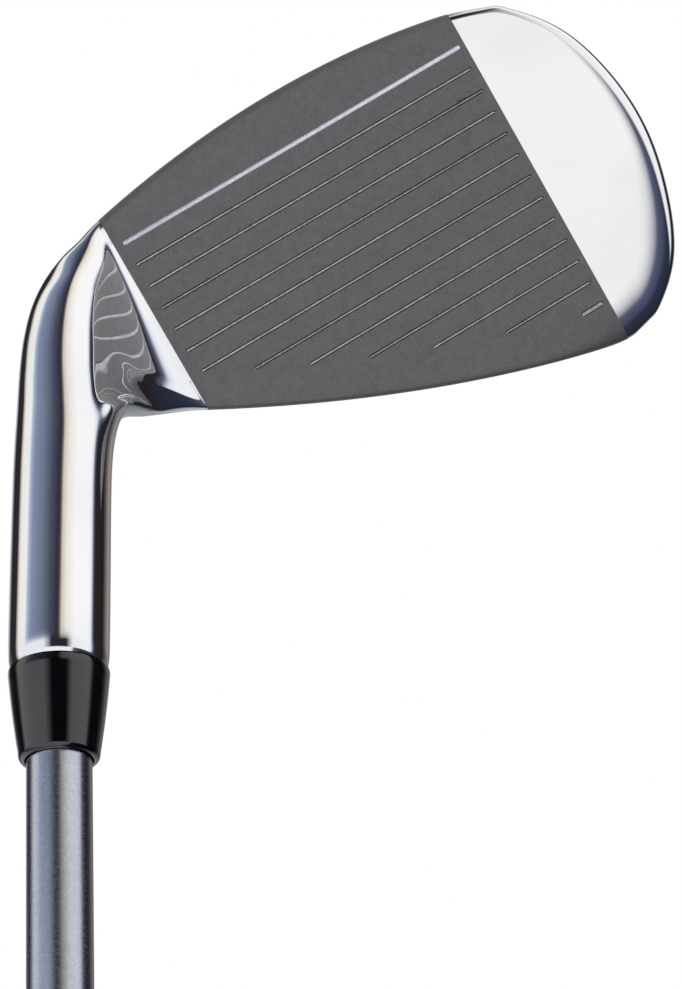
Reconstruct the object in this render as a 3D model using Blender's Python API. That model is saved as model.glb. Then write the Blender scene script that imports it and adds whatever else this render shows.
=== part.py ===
"""Iron golf club, held head up: the shaft's axis is Z, the butt of the grip is at Z = 0,
the toe points to +X and the striking face looks to -Y.  Sizes are in millimetres and are
scaled to metres where a mesh or an object is made."""
import math

import bmesh
import bpy
from mathutils import Vector

MM = 0.001
GAP = 0.25                      # clearance left between pieces that touch

# ---- whole club ----
LIE = math.radians(60.0)        # shaft to ground
LOFT = math.radians(32.6)       # face to shaft
CROSSING_Z = 930.0              # where the shaft's axis meets the plane of the face
CROSSING_U, CROSSING_V = -10.8, -0.5    # the same point, measured on the face

# ---- face, measured from the heel end of the lowest groove: u to the toe, v up, w out ----
GROOVE_PITCH = 3.6
GROOVE_COUNT = 13
GROOVE_WIDTH = 0.75
GROOVE_DEPTH = 0.4
GROOVE_TOE_END = 57.5
GROOVE_TOP_MARGIN = 6.4         # metal between a groove's heel end and the top line
TOP_MARK_START = 53.9           # the topmost groove is only a short mark
FACE_HEEL_END = -1.2            # the flat starts here
FACE_TOE_LINE = 58.4            # the blade's straight columns end here
TOE_OUTLINE = [(65.9, -2.5), (71.0, 1.8), (74.7, 8.6), (76.5, 16.4), (76.7, 23.6),
               (75.5, 31.4), (73.1, 39.1), (69.4, 45.2), (64.2, 48.9)]
# how far the front of the toe's sections stands back, from the leading edge to the top line
TOE_FALLS = {0.0: [0.0] * 8 + [0.9], 0.4: [0.1] + [0.0] * 6 + [0.1, 1.1],
             0.8: [0.3] + [0.0] * 6 + [0.3, 1.2], 1.0: [0.5, 0.3, 0.1, 0.1, 0.1, 0.2, 0.6, 1.1, 1.4]}
TOE_SOFT = 2.8                  # rounding of the top line there

# ---- head body ----
SOLE_HEEL, SOLE_MIDDLE, SOLE_TOE = 14.5, 19.5, 15.0     # sole width
SOLE_CAMBER = 1.3
TOP_LINE = 6.5                  # thickness of the top line
EDGE_SOFT = 2.2                 # rounding of the leading edge
TOP_SOFT = 1.3                  # rounding of the top line
FACE_THICKNESS = 3.0
CAVITY_RIM = 2.4
HOSEL_TOP = 61.3                # along the axis from the crossing towards the grip
HOSEL_RADIUS = 7.0
# where the hosel turns into the blade, x from the shaft's axis and z from the crossing
HEEL_OUTLINE = [(-5.9, -22.0), (-5.7, -16.5), (-5.2, -10.6), (-3.9, -4.6), (-0.9, 1.6)]
CROTCH_OUTLINE = [(8.8, -22.8), (9.6, -20.9), (10.6, -19.4), (11.8, -17.9), (13.2, -16.5)]
NECK_SHARE = [0.0, 0.12, 0.36, 0.68, 0.92]      # how far each section there is like the blade's
NOSE_DEPTH = [6.9, 6.8, 6.5, 5.8, 4.6]          # how far the hosel's round front stands out there
HEEL_CORNER, CORNER_DEPTH = (4.6, 6.5), 2.9     # the same where the blade starts
NOSE_RIGHT = 7.0                # the toe side of the round front
NOSE_TANGENT = 0.78             # the web leaves the round front at this share of its half width
WEB_SLOPE = 0.32                # slope of the web where it meets the face
BORE_BOTTOM = 31.0
RING = 22                       # control points round one section of the head
# a smooth ring is this much smaller than its control ring
RING_SHRINK = (2.0 + math.cos(2.0 * math.pi / RING)) / 3.0

# ---- shaft and what is glued to it ----
SEGMENTS = 32
TIP_RADIUS = 4.49
BUTT_RADIUS = 7.62
SHAFT_WALL = 0.45
TAPER_START, TAPER_END = 110.0, 740.0
TAPE_THICKNESS = 0.2
EPOXY_THICKNESS = 0.25
BORE_RADIUS = TIP_RADIUS + GAP + EPOXY_THICKNESS + GAP
SHAFT_TIP = BORE_BOTTOM + 2.0
CAP_THICKNESS = 5.0
SHAFT_BUTT = CROSSING_Z - CAP_THICKNESS - GAP
FERRULE_LENGTH = 13.2
GRIP_LENGTH = 268.0
GRIP_BUTT_RADIUS = 13.3
GRIP_MOUTH_RADIUS = 8.7
VENT_RADIUS = 1.3


def remove_everything():
    """Start from an empty scene."""
    for thing in list(bpy.data.objects):
        bpy.data.objects.remove(thing, do_unlink=True)


def material(name, colour, roughness, metallic):
    """A Principled material with one colour."""
    made = bpy.data.materials.new(name)
    made.use_nodes = True
    shader = made.node_tree.nodes["Principled BSDF"]
    shader.inputs["Base Color"].default_value = (*colour, 1.0)
    shader.inputs["Roughness"].default_value = roughness
    shader.inputs["Metallic"].default_value = metallic
    made.diffuse_color = (*colour, 1.0)
    return made


def add_object(name, bm, finish, parent, height=0.0):
    """Turn a bmesh in millimetres into a named object, with its origin on the shaft's axis."""
    bmesh.ops.translate(bm, verts=bm.verts, vec=(0.0, 0.0, -height))
    bmesh.ops.scale(bm, verts=bm.verts, vec=(MM, MM, MM))
    bmesh.ops.recalc_face_normals(bm, faces=bm.faces)
    mesh = bpy.data.meshes.new(name)
    bm.to_mesh(mesh)
    bm.free()
    mesh.materials.append(finish)
    mesh.shade_smooth()
    mesh.set_sharp_from_angle(angle=math.radians(35.0))
    made = bpy.data.objects.new(name, mesh)
    bpy.context.scene.collection.objects.link(made)
    made.location = (0.0, 0.0, height * MM)
    made.parent = parent
    return made


def axis_z(s):
    """Height of a point on the shaft's axis, s towards the grip from the crossing."""
    return CROSSING_Z - s


def face_point(u, v, w):
    """A point given on the face, in the club's frame."""
    across = u - CROSSING_U
    up_face = v - CROSSING_V
    forward = -up_face * math.sin(LOFT) + w * math.cos(LOFT)
    up = up_face * math.cos(LOFT) + w * math.sin(LOFT)
    return Vector((across * math.sin(LIE) + up * math.cos(LIE), -forward,
                   CROSSING_Z + across * math.cos(LIE) - up * math.sin(LIE)))


def mix(a, b, t):
    """Blend two numbers or two points."""
    if isinstance(a, (tuple, list)):
        return tuple(mix(x, y, t) for x, y in zip(a, b))
    return a + (b - a) * t


def smooth(t):
    """Ease from 0 to 1."""
    t = min(max(t, 0.0), 1.0)
    return t * t * (3.0 - 2.0 * t)


# ---------------------------------------------------------------- round pieces
def turned(profile, tube):
    """Turn a profile of (radius, z) about Z.  A tube's profile is closed; a bar's ends are capped."""
    bm = bmesh.new()
    rings = []
    for radius, z in profile:
        rings.append([bm.verts.new((radius * math.cos(2.0 * math.pi * k / SEGMENTS),
                                    radius * math.sin(2.0 * math.pi * k / SEGMENTS), z))
                      for k in range(SEGMENTS)])
    pairs = list(zip(rings, rings[1:]))
    if tube:
        pairs.append((rings[-1], rings[0]))
    for low, high in pairs:
        for k in range(SEGMENTS):
            n = (k + 1) % SEGMENTS
            bm.faces.new((low[k], low[n], high[n], high[k]))
    if not tube:
        bm.faces.new(rings[0])
        bm.faces.new(rings[-1])
    return bm


def shaft_radius(s):
    """Outer radius of the shaft: a parallel tip, a straight taper and a parallel butt."""
    t = (s - TAPER_START) / (TAPER_END - TAPER_START)
    return mix(TIP_RADIUS, BUTT_RADIUS, min(max(t, 0.0), 1.0))


def sleeve(s_from, s_to, inner, outer, stops=()):
    """A sleeve round the shaft between two places, its walls given as allowances on the shaft."""
    stations = [s_from, *[s for s in stops if s_from < s < s_to], s_to]
    outside = [(shaft_radius(s) + outer, axis_z(s)) for s in stations]
    inside = [(shaft_radius(s) + inner, axis_z(s)) for s in reversed(stations)]
    return turned(outside + inside, tube=True)


def ferrule_profile():
    """Cone from the hosel's width down to the shaft, with a rounded end."""
    start = HOSEL_TOP + GAP
    end = start + FERRULE_LENGTH
    bore = TIP_RADIUS + GAP
    outside = [(HOSEL_RADIUS - 0.25, start), (HOSEL_RADIUS, start + 0.4), (HOSEL_RADIUS - 0.03, start + 1.2)]
    nose_radius = 0.9
    nose_outer = 5.58
    outside.append((nose_outer, end - nose_radius))
    for step in range(1, 4):
        turn = math.radians(30.0 * step)
        outside.append((nose_outer - nose_radius * (1.0 - math.cos(turn)) * 0.75,
                        end - nose_radius * (1.0 - math.sin(turn))))
    outline = outside + [(bore, end), (bore, start)]
    return [(radius, axis_z(s)) for radius, s in outline]


def grip_profile():
    """The grip's sleeve: wide at the butt, a long taper and a rolled lip at the mouth."""
    low = CAP_THICKNESS + GAP
    allowance = GAP + TAPE_THICKNESS + GAP
    outside = [(GRIP_BUTT_RADIUS, low), (GRIP_BUTT_RADIUS, low + 4.0)]
    for step in range(1, 9):
        t = step / 8.0
        taper = mix(GRIP_BUTT_RADIUS - 0.6, GRIP_MOUTH_RADIUS + 0.2, t ** 0.72)
        outside.append((taper, mix(low + 9.0, GRIP_LENGTH - 6.0, t)))
    outside += [(GRIP_MOUTH_RADIUS + 0.5, GRIP_LENGTH - 4.0), (GRIP_MOUTH_RADIUS + 0.4, GRIP_LENGTH - 1.0),
                (GRIP_MOUTH_RADIUS - 0.1, GRIP_LENGTH)]
    inside = [(shaft_radius(CROSSING_Z - z) + allowance, z)
              for z in (GRIP_LENGTH, CROSSING_Z - TAPER_END, low)]
    return outside + inside


def cap_profile():
    """End cap with a rounded rim and a vent through its middle."""
    rim = 2.4
    outside = [(GRIP_BUTT_RADIUS - rim, 0.0)]
    for step in range(1, 5):
        turn = math.radians(22.5 * step)
        outside.append((GRIP_BUTT_RADIUS - rim + rim * math.sin(turn), rim - rim * math.cos(turn)))
    outside.append((GRIP_BUTT_RADIUS, CAP_THICKNESS))
    return outside + [(VENT_RADIUS, CAP_THICKNESS), (VENT_RADIUS, 0.0)]


def plug_profile():
    """Balance plug: a flange under the shaft's tip and a stem inside it."""
    stem = TIP_RADIUS - SHAFT_WALL - GAP
    flange = TIP_RADIUS - 0.3
    return [(radius, axis_z(s)) for radius, s in
            ((flange, BORE_BOTTOM + GAP), (flange, SHAFT_TIP - GAP), (stem, SHAFT_TIP - GAP),
             (stem, SHAFT_TIP + 11.0), (stem - 1.0, SHAFT_TIP + 12.0))]


# ---------------------------------------------------------------- the head
def leading_edge(u):
    """Height of the leading edge: a shallow bow."""
    return -8.6 + 0.0037 * (u - 30.0) ** 2


def top_line(u):
    """Height of the top line: rising to the toe and flattening there."""
    return 27.75 + 0.547 * u - 0.00275 * u * u


def through(points):
    """Control points whose smooth curve passes through the given points; the ends stay."""
    control = [tuple(p) for p in points]
    for _ in range(12):
        for k in range(1, len(points) - 1):
            control[k] = tuple((6.0 * p - a - b) / 4.0 for p, a, b in
                               zip(points[k], control[k - 1], control[k + 1]))
    return control


def along(points, lengths):
    """Points at the given distances along a polyline; a negative distance counts from the end."""
    runs = [math.dist(a, b) for a, b in zip(points, points[1:])]
    total = sum(runs)
    found = []
    for length in lengths:
        left = length if length >= 0.0 else total + length
        for (a, b), run in zip(zip(points, points[1:]), runs):
            if left <= run + 1e-9:
                break
            left -= run
        found.append(mix(a, b, left / run))
    return found


def front_column(points, near_bottom, near_top):
    """Nine points up the face along a line, with close pairs at both edges."""
    total = sum(math.dist(a, b) for a, b in zip(points, points[1:]))
    lengths = [0.0, near_bottom] + [total * k / 6.0 for k in range(1, 6)] + [-near_top, -1e-9]
    return along(points, lengths)


def section(front, bottom, top, falls=(0.0,) * 9):
    """One section of the blade as 22 points: up the face, over the top line, down the back
    and along the sole.  bottom and top are the steps from the front edge to the back edge; falls
    is how far each point of the front stands back."""
    ring = [(u, v, -fall) for (u, v), fall in zip(front, falls)]
    heights = [0.0, 0.06] + [k / 6.0 for k in range(1, 6)] + [0.96, 1.0]
    back = []
    for (u, v), h in zip(front, heights):
        step = mix(bottom, top, h)
        back.append((u + step[0], v + step[1], step[2]))
    first, last = ring[0], ring[-1]
    crown = [(last[0] + top[0] * t, last[1] + top[1] * t + 0.25, top[2] * t) for t in (0.3, 0.75)]
    down = (0.0, -math.cos(LOFT) * SOLE_CAMBER, -math.sin(LOFT) * SOLE_CAMBER)
    sole = [tuple(first[k] + bottom[k] * t + down[k] for k in range(3)) for t in (0.72, 0.2)]
    return ring + crown + list(reversed(back)) + sole


def sole_step(width, inward=0.0):
    """From the leading edge straight back along the ground to the sole's rear edge."""
    return (inward, width * math.sin(LOFT), -width * math.cos(LOFT))


def blade_sections():
    """Sections from the heel to the toe."""
    straight = [-3.6, FACE_HEEL_END - 0.2, FACE_HEEL_END + 1.2, 7.0, 18.0, 30.0, 41.0, 50.0]
    top = (0.0, -1.0, -TOP_LINE)
    rings = []
    for u in straight:
        front = front_column([(u, leading_edge(u)), (u, top_line(u))], EDGE_SOFT, TOP_SOFT)
        width = mix(SOLE_HEEL, SOLE_MIDDLE, smooth((u + 8.0) / 34.0))
        rings.append(section(front, sole_step(width), top))
    toe = through(front_column(TOE_OUTLINE, EDGE_SOFT, TOE_SOFT))
    base = front_column([(FACE_TOE_LINE, leading_edge(FACE_TOE_LINE)),
                         (FACE_TOE_LINE, top_line(FACE_TOE_LINE))], EDGE_SOFT, TOE_SOFT)
    for t, falls in TOE_FALLS.items():
        front = [mix(a, b, t) for a, b in zip(base, toe)]
        width = mix(SOLE_MIDDLE, SOLE_TOE, smooth(t))
        rings.append(section(front, sole_step(width, -1.0 * t), (-1.2 * t, -1.0, -TOP_LINE), falls))
    return rings


def hosel_ring(s, radius, shift=0.0):
    """A round section of the hosel; its centre can lean towards the toe."""
    radius /= RING_SHRINK
    ring = []
    for k in range(RING):
        turn = 2.0 * math.pi * (RING / 2.0 - 1.5 - k) / RING
        ring.append(Vector((shift + radius * math.cos(turn), -radius * math.sin(turn), axis_z(s))))
    return ring


def neck_front(x, z):
    """y of the neck's front: the hosel's round front, and a hollow web from it to the face."""
    places = [*HEEL_OUTLINE, HEEL_CORNER]
    depths = [*NOSE_DEPTH, CORNER_DEPTH]
    step = 0
    while step < len(places) - 2 and z > places[step + 1][1]:
        step += 1
    (left_a, z_a), (left_b, z_b) = places[step], places[step + 1]
    t = min(max((z - z_a) / (z_b - z_a), 0.0), 1.0)
    left, depth = mix(left_a, left_b, t), mix(depths[step], depths[step + 1], t)
    half = (NOSE_RIGHT - left) / 2.0
    across = min(max((x - NOSE_RIGHT) / half + 1.0, -1.0), NOSE_TANGENT)
    y = -depth * math.sqrt(1.0 - across * across)
    tangent_x = NOSE_RIGHT - half + half * NOSE_TANGENT
    if x <= tangent_x:
        return y
    reach = FACE_HEEL_END - CROSSING_U
    edge_up = (reach * math.cos(LIE) - z) / math.sin(LIE)
    edge_x = reach * math.sin(LIE) + edge_up * math.cos(LIE)
    edge_y = edge_up * math.tan(LOFT)
    if x >= edge_x:
        return (x * math.cos(LIE) - z * math.sin(LIE)) * math.tan(LOFT)
    run = edge_x - tangent_x
    slope = depth * NOSE_TANGENT / (half * math.sqrt(1.0 - NOSE_TANGENT ** 2))
    t = (x - tangent_x) / run
    return ((1.0 + 2.0 * t) * (1.0 - t) ** 2 * y + t * (1.0 - t) ** 2 * run * slope
            + t * t * (3.0 - 2.0 * t) * edge_y + t * t * (t - 1.0) * run * WEB_SLOPE)


def neck_rings(heel_section):
    """Sections that fan round the crotch and turn the hosel's circle into the heel of the blade."""
    heel = []
    for point in (face_point(*corner) for corner in heel_section):
        heel.append((point.x * math.cos(LIE) - point.z * math.sin(LIE), point.y))
    inner = max(reach for reach, _ in heel)
    outer = min(reach for reach, _ in heel)
    rings = []
    for (low_x, low_z), (high_x, high_z), share in zip(CROTCH_OUTLINE, HEEL_OUTLINE, NECK_SHARE):
        ring = []
        for k, (reach, heel_y) in enumerate(heel):
            angle = 2.0 * math.pi * (RING / 2.0 - 1.5 - k) / RING
            across = mix((1.0 - math.cos(angle)) / 2.0, (inner - reach) / (inner - outer), share)
            x, z = mix(low_x, high_x, across), mix(low_z, high_z, across)
            y = mix(-HOSEL_RADIUS * 0.98 * math.sin(angle), heel_y, share)
            if 0 < k < 8:
                y = mix(y, neck_front(x, z), smooth(across / 0.35))
            ring.append(Vector((x, y, CROSSING_Z + z)))
        rings.append(ring)
    return rings


def head_cage():
    """The head's control cage: a tube of sections, open only at the hosel's bore."""
    blade = blade_sections()
    rings = [hosel_ring(BORE_BOTTOM, BORE_RADIUS), hosel_ring(HOSEL_TOP, BORE_RADIUS),
             hosel_ring(HOSEL_TOP, HOSEL_RADIUS - 0.5), hosel_ring(HOSEL_TOP - 0.5, HOSEL_RADIUS),
             hosel_ring(46.0, HOSEL_RADIUS - 0.02, 0.25), hosel_ring(33.0, HOSEL_RADIUS - 0.1, 0.5),
             hosel_ring(27.0, HOSEL_RADIUS - 0.05, 0.8)]
    creased = 4
    rings += neck_rings(blade[0])
    first_blade = len(rings)
    rings += [[face_point(*point) for point in ring] for ring in blade]
    for point in rings[first_blade][1:8]:
        point.y = min(point.y, neck_front(point.x, point.z - CROSSING_Z))
    bm = bmesh.new()
    verts = [[bm.verts.new(p) for p in ring] for ring in rings]
    crease = bm.edges.layers.float.new("crease_edge")
    for low, high in zip(verts, verts[1:]):
        for k in range(RING):
            n = (k + 1) % RING
            bm.faces.new((low[k], low[n], high[n], high[k]))
    bm.faces.new(verts[0])
    for ring in verts[:creased]:
        for k in range(RING):
            bm.edges.get((ring[k], ring[(k + 1) % RING]))[crease] = 1.0
    close_toe(bm, verts[-1])
    cut_cavity(bm, verts, first_blade)
    return bm


def close_toe(bm, ring):
    """Fill the last section with a grid of faces across the blade's thickness."""
    rows = []
    for j in range(9):
        front, back = ring[j], ring[19 - j]
        if j == 0:
            rows.append([front, ring[21], ring[20], back])
        elif j == 8:
            rows.append([front, ring[9], ring[10], back])
        else:
            bulge = (front.co - ring[0].co.lerp(ring[8].co, j / 8.0)).normalized() * 0.5
            middle = [bm.verts.new(front.co.lerp(back.co, t) + bulge) for t in (0.28, 0.72)]
            rows.append([front, *middle, back])
    for low, high in zip(rows, rows[1:]):
        for k in range(3):
            bm.faces.new((low[k], low[k + 1], high[k + 1], high[k]))


def cut_cavity(bm, verts, first_blade):
    """Sink the middle of the back into a pocket whose floor is parallel to the face."""
    normal = (face_point(0, 0, 1) - face_point(0, 0, 0)).normalized()
    origin = face_point(0.0, 0.0, -FACE_THICKNESS)
    picked = []
    bm.faces.ensure_lookup_table()
    columns = range(first_blade + 3, first_blade + 9)
    for column in columns:
        for k in range(12, 18):
            corners = {verts[column][k], verts[column][k + 1], verts[column + 1][k], verts[column + 1][k + 1]}
            picked += [f for f in verts[column][k].link_faces if set(f.verts) == corners]
    bm.normal_update()
    for step in (CAVITY_RIM, 0.6, 0.4):
        bmesh.ops.inset_region(bm, faces=picked, thickness=step)
    floor = {v for f in picked for v in f.verts}
    for v in floor:
        v.co += normal * (origin - v.co).dot(normal)
    bmesh.ops.inset_region(bm, faces=picked, thickness=0.8)


def box(low, high):
    """A block in face coordinates."""
    bm = bmesh.new()
    corners = [bm.verts.new(face_point(*(high[k] if bit >> k & 1 else low[k] for k in range(3))))
               for bit in range(8)]
    for quad in ((0, 1, 3, 2), (4, 5, 7, 6), (0, 1, 5, 4), (2, 3, 7, 6), (0, 2, 6, 4), (1, 3, 7, 5)):
        bm.faces.new([corners[k] for k in quad])
    return bm


def groove_spans():
    """Heel and toe end of every groove, from the lowest up."""
    spans = []
    for k in range(GROOVE_COUNT):
        v = k * GROOVE_PITCH
        start = 0.0
        while top_line(start) - GROOVE_TOP_MARGIN < v:
            start += 0.1
        if k == GROOVE_COUNT - 1:
            start = TOP_MARK_START
        spans.append((v, start, GROOVE_TOE_END))
    return spans


def groove_cutter(parent, finish):
    """All the grooves as one cutter."""
    joined = bmesh.new()
    for v, start, end in groove_spans():
        half = GROOVE_WIDTH / 2.0
        block = box((start, v - half, -GROOVE_DEPTH), (end, v + half, 1.0))
        scratch = bpy.data.meshes.new("scratch")
        block.to_mesh(scratch)
        block.free()
        joined.from_mesh(scratch)
        bpy.data.meshes.remove(scratch)
    cutter = add_object("groove_cutter", joined, finish, parent, axis_z(HOSEL_TOP))
    cutter.hide_render = True
    cutter.display_type = "WIRE"
    return cutter


def plate(outline, w_back, w_front):
    """A flat plate behind the face, from its outline in u and v."""
    bm = bmesh.new()
    back = [bm.verts.new(face_point(u, v, w_back)) for u, v in outline]
    front = [bm.verts.new(face_point(u, v, w_front)) for u, v in outline]
    count = len(outline)
    for k in range(count):
        n = (k + 1) % count
        bm.faces.new((back[k], back[n], front[n], front[k]))
    bm.faces.new(back)
    bm.faces.new(front)
    return bm


def rounded(corners, radius):
    """An outline whose corners are replaced by arcs."""
    outline = []
    count = len(corners)
    for k in range(count):
        here = Vector(corners[k])
        before = (Vector(corners[k - 1]) - here).normalized()
        after = (Vector(corners[(k + 1) % count]) - here).normalized()
        half = before.angle(after) / 2.0
        centre = here + (before + after).normalized() * radius / math.sin(half)
        start = here + before * radius / math.tan(half) - centre
        end = here + after * radius / math.tan(half) - centre
        for step in range(4):
            arm = start.lerp(end, step / 3.0).normalized() * radius
            outline.append(tuple(centre + arm))
    return outline


def build():
    """Make the whole club."""
    remove_everything()
    chrome = material("chrome", (0.78, 0.79, 0.81), 0.08, 1.0)
    satin_steel = material("satin_steel", (0.42, 0.44, 0.48), 0.35, 1.0)
    black_gloss = material("black_gloss", (0.015, 0.015, 0.017), 0.12, 0.0)
    brass = material("brass", (0.72, 0.52, 0.2), 0.3, 1.0)
    resin = material("resin", (0.55, 0.5, 0.35), 0.4, 0.0)
    rubber = material("rubber", (0.03, 0.03, 0.032), 0.75, 0.0)
    cap_rubber = material("cap_rubber", (0.05, 0.05, 0.055), 0.55, 0.0)
    tape = material("tape", (0.75, 0.7, 0.55), 0.8, 0.0)
    badge = material("badge", (0.5, 0.52, 0.56), 0.3, 1.0)
    foam = material("foam", (0.12, 0.12, 0.13), 0.85, 0.0)
    soft = material("soft", (0.06, 0.07, 0.09), 0.6, 0.0)

    club = bpy.data.objects.new("club", None)
    bpy.context.scene.collection.objects.link(club)

    head = add_object("head_body", head_cage(), chrome, club, axis_z(HOSEL_TOP))
    rounding = head.modifiers.new("rounding", "SUBSURF")
    rounding.levels = rounding.render_levels = 1
    rounding.use_limit_surface = True
    cutting = head.modifiers.new("grooves", "BOOLEAN")
    cutting.operation = "DIFFERENCE"
    cutting.solver = "EXACT"
    cutting.object = groove_cutter(club, chrome)

    add_object("ferrule", turned(ferrule_profile(), tube=True), black_gloss, club, axis_z(HOSEL_TOP))
    stops = (TAPER_START, TAPER_END)
    add_object("shaft", sleeve(SHAFT_TIP, SHAFT_BUTT, -SHAFT_WALL, 0.0, stops), satin_steel, club)
    add_object("tip_weight", turned(plug_profile(), tube=False), brass, club, axis_z(SHAFT_TIP))
    glue = sleeve(SHAFT_TIP + 0.5, HOSEL_TOP - 0.5, GAP, GAP + EPOXY_THICKNESS)
    add_object("hosel_epoxy", glue, resin, club, axis_z(SHAFT_TIP))
    grip_mouth = CROSSING_Z - GRIP_LENGTH
    wrap = sleeve(grip_mouth + 4.0, SHAFT_BUTT, GAP, GAP + TAPE_THICKNESS, stops)
    add_object("grip_tape", wrap, tape, club)
    add_object("grip", turned(grip_profile(), tube=True), rubber, club)
    add_object("grip_cap", turned(cap_profile(), tube=True), cap_rubber, club)

    floor = -FACE_THICKNESS
    corners = [(16.5, 14.2), (55.5, 14.2), (57.4, 34.5), (51.5, 36.6), (16.5, 24.4)]
    under = [(18.0, 15.6), (54.0, 15.6), (55.8, 33.4), (51.2, 35.0), (18.0, 23.4)]
    tape_back = floor - GAP - 0.4
    badge_front = tape_back - GAP
    add_object("badge_tape", plate(rounded(under, 2.5), tape_back, floor - GAP), foam, club,
               axis_z(HOSEL_TOP))
    add_object("cavity_badge", plate(rounded(corners, 3.0), badge_front - 1.1, badge_front), badge, club,
               axis_z(HOSEL_TOP))
    add_object("cavity_damper", plate(rounded([(18.0, 9.5), (51.0, 9.5), (52.0, 13.3), (17.0, 13.3)], 1.5),
                                      floor - GAP - 4.0, floor - GAP), soft, club, axis_z(HOSEL_TOP))


build()
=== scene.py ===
"""Looks for an iron golf club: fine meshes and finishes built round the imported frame.

The club stands head up.  The shaft's axis is Z, the butt of the grip is at Z = 0, the toe points
to +X and the striking face looks to -Y.  Shapes are worked out in millimetres and scaled to metres
where a mesh is made.
"""
import math

import bmesh
import bpy
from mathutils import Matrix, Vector


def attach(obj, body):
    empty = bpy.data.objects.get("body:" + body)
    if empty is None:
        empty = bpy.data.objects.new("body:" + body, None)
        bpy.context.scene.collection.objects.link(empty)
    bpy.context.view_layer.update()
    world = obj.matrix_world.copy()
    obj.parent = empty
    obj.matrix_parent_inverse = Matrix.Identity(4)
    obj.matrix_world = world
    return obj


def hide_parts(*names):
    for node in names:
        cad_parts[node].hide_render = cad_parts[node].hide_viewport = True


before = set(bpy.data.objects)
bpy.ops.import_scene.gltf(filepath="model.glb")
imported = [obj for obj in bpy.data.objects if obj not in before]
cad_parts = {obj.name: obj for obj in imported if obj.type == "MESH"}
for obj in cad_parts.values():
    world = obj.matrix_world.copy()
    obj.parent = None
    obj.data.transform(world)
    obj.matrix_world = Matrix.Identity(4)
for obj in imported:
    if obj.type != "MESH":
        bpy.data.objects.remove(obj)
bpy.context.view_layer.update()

MM = 0.001
GAP = 0.25                      # clearance between pieces that touch

# ---- whole club ----
LIE = math.radians(60.0)        # shaft to ground
LOFT = math.radians(32.6)       # face to shaft
CROSSING_Z = 930.0              # where the shaft's axis meets the plane of the face
CROSSING_U, CROSSING_V = -10.8, -0.5    # the same point, measured on the face

# ---- face, measured from the heel end of the lowest groove: u to the toe, v up, w out ----
GROOVE_PITCH = 3.6
GROOVE_COUNT = 13
GROOVE_WIDTH = 0.55             # at the face
GROOVE_FLOOR = 0.3              # width of a groove's floor
GROOVE_DEPTH = 0.2
PAINT_WIDTH, PAINT_DEPTH = 0.68, 0.06   # the lowest groove is filled with paint
PAINT_SLOPE = 0.3               # its walls narrow by this share of what the others do
MARK_EXTRA = 0.25               # the topmost mark is this much wider
FLOOR_LESS = 0.08               # the lowest bit of a wall narrows by this much more
GROOVE_TOE_END = 57.5
GROOVE_TOP_MARGIN = 6.4         # metal between a groove's heel end and the top line
TOP_MARK_START = 53.9           # the topmost groove is only a short mark
BLAST_HEEL, BLAST_TOE = -1.4, 58.4      # the blasted zone of the face, along u
FRONT_DEPTH = 8.0               # only faces nearer to the front than this are cut at its boundary
BLAST_DEPTH = 1.9               # how far the blasting runs round the edges, behind the face
FACE_HEEL_END = -1.2            # two of the blade's columns stand close together round this u
FACE_TOE_LINE = 58.4            # the toe's sections start here
TOE_OUTLINE = [(65.9, -2.5), (71.0, 1.8), (74.7, 8.6), (76.5, 16.4), (76.7, 23.6),
               (75.5, 31.4), (73.1, 39.1), (69.4, 45.2), (64.2, 48.9)]
# how far the front of the toe's sections stands back, from the leading edge to the top line
TOE_FALLS = {0.0: [0.0] * 8 + [0.9], 0.4: [0.1] + [0.0] * 6 + [0.1, 1.1],
             0.8: [0.3] + [0.0] * 6 + [0.3, 1.2], 1.0: [0.5, 0.3, 0.1, 0.1, 0.1, 0.2, 0.6, 1.1, 1.4]}
TOE_SOFT = 2.8                  # rounding of the top line there

# ---- head body ----
SOLE_HEEL, SOLE_MIDDLE, SOLE_TOE = 14.5, 19.5, 15.0     # sole width
SOLE_CAMBER = 1.3
TOP_LINE = 6.5                  # thickness of the top line
EDGE_SOFT = 2.2                 # rounding of the leading edge
TOP_SOFT = 1.3                  # rounding of the top line
FACE_THICKNESS = 3.0
CAVITY_RIM = 2.4
CAVITY_COLUMNS, CAVITY_POINTS = range(3, 9), range(12, 18)      # the part of the back that it takes up
HOSEL_TOP = 61.3                # along the axis from the crossing towards the grip
HOSEL_RADIUS = 7.0
HEEL_OUTLINE = [(-5.9, -22.0), (-5.7, -16.5), (-5.2, -10.6), (-3.9, -4.6), (-0.9, 1.6)]
CROTCH_OUTLINE = [(8.8, -22.8), (9.6, -20.9), (10.6, -19.4), (11.8, -17.9), (13.2, -16.5)]
HOSEL_EDGE = [(7.9, -60.0), (7.9, -28.0)]       # the hosel's toe side, up to the crotch
NECK_SHARE = [0.0, 0.12, 0.36, 0.68, 0.92]      # how far each section there is like the blade's
# the hosel's round front as it runs up the neck: z, its heel side, its toe side, how far it stands out
NOSE_PLACES = [(-46.0, -6.75, 7.23, 6.97), (-33.0, -6.4, 7.4, 6.9), (-27.0, -6.15, 7.7, 6.93),
               (-22.0, -5.9, 7.4, 6.9), (-16.5, -5.7, 7.05, 6.8), (-10.6, -5.2, 7.0, 6.4),
               (-4.6, -3.9, 7.1, 5.1), (1.6, -0.9, 7.3, 2.8), (6.5, 4.6, 7.6, 2.2)]
NOSE_TANGENT = 0.86             # the web leaves the round front at this share of its half width
WEB_SLOPE = 0.5                 # slope of the web where it meets the face
NECK_FROM, NECK_TO = -34.0, 6.8     # z between which the fine mesh is drawn onto that front
NECK_FADES = 10.0, 4.0          # over how much of z it comes in at the bottom and goes out at the top
CROTCH_FADE = 4.0               # and how far from the crotch
FRONT_FACING, FRONT_FADE = 0.1, 0.4     # how much a vertex has to look forward, and over how much more
BORE_BOTTOM = 31.0
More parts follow.
